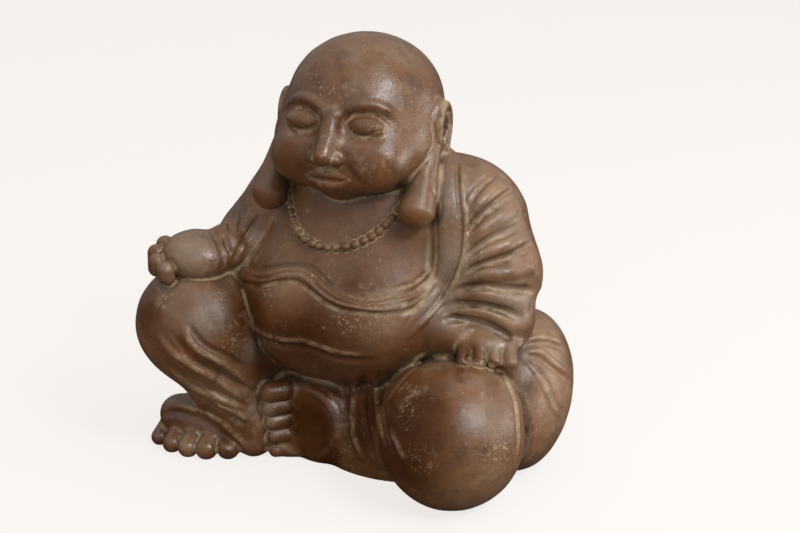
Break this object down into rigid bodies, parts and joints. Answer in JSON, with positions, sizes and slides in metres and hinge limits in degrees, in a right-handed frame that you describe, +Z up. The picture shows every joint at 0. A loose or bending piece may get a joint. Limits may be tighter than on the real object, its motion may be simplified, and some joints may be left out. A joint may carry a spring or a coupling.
{
  "type": "seated monk statue",
  "caption": "Free-standing terracotta figure of a bald, round-bellied seated monk with long ear lobes, open robe, bead necklace and cloth sack, luted from hollow moulded pieces.",
  "frame": {"origin": "on the underside of the base slab, in front of the hand hole, at ground level", "axes": "+Z up, the figure faces -Y, +X is the figure's own left side"},
  "size_m": [0.4055, 0.2787, 0.4268],
  "materials": {
    "skin_slip": "brown slip, burnished and waxed to a soft sheen",
    "robe_slip": "brown slip with rubbed folds and tan dust in the creases",
    "bead_slip": "brown slip, matt",
    "bare_clay": "bare fired clay"
  },
  "bodies": {
    "root": {"base_slab": "bare_clay", "bead_necklace": "bead_slip", "belly_wrap": "robe_slip", "cloth_sack": "robe_slip", "face_shell": "skin_slip", "front_drape": "robe_slip", "left_ear": "skin_slip", "left_finger_1": "skin_slip", "left_finger_2": "skin_slip", "left_finger_3": "skin_slip", "left_finger_4": "skin_slip", "left_foot": "skin_slip", "left_hand": "skin_slip", "left_lapel_band": "robe_slip", "left_leg_shell": "robe_slip", "left_sleeve": "robe_slip", "left_toe_1": "skin_slip", "left_toe_2": "skin_slip", "left_toe_3": "skin_slip", "left_toe_4": "skin_slip", "left_toe_5": "skin_slip", "right_ear": "skin_slip", "right_finger_1": "skin_slip", "right_finger_2": "skin_slip", "right_finger_3": "skin_slip", "right_finger_4": "skin_slip", "right_foot": "skin_slip", "right_hand": "skin_slip", "right_knee_shell": "robe_slip", "right_lapel_band": "robe_slip", "right_shin_shell": "robe_slip", "right_sleeve": "robe_slip", "right_toe_1": "skin_slip", "right_toe_2": "skin_slip", "right_toe_3": "skin_slip", "right_toe_4": "skin_slip", "right_toe_5": "skin_slip", "right_trouser_hem": "robe_slip", "skull_shell": "skin_slip", "torso_back_shell": "robe_slip", "torso_front_shell": "skin_slip", "wrap_hem_roll": "robe_slip"}
  },
  "joints": []
}
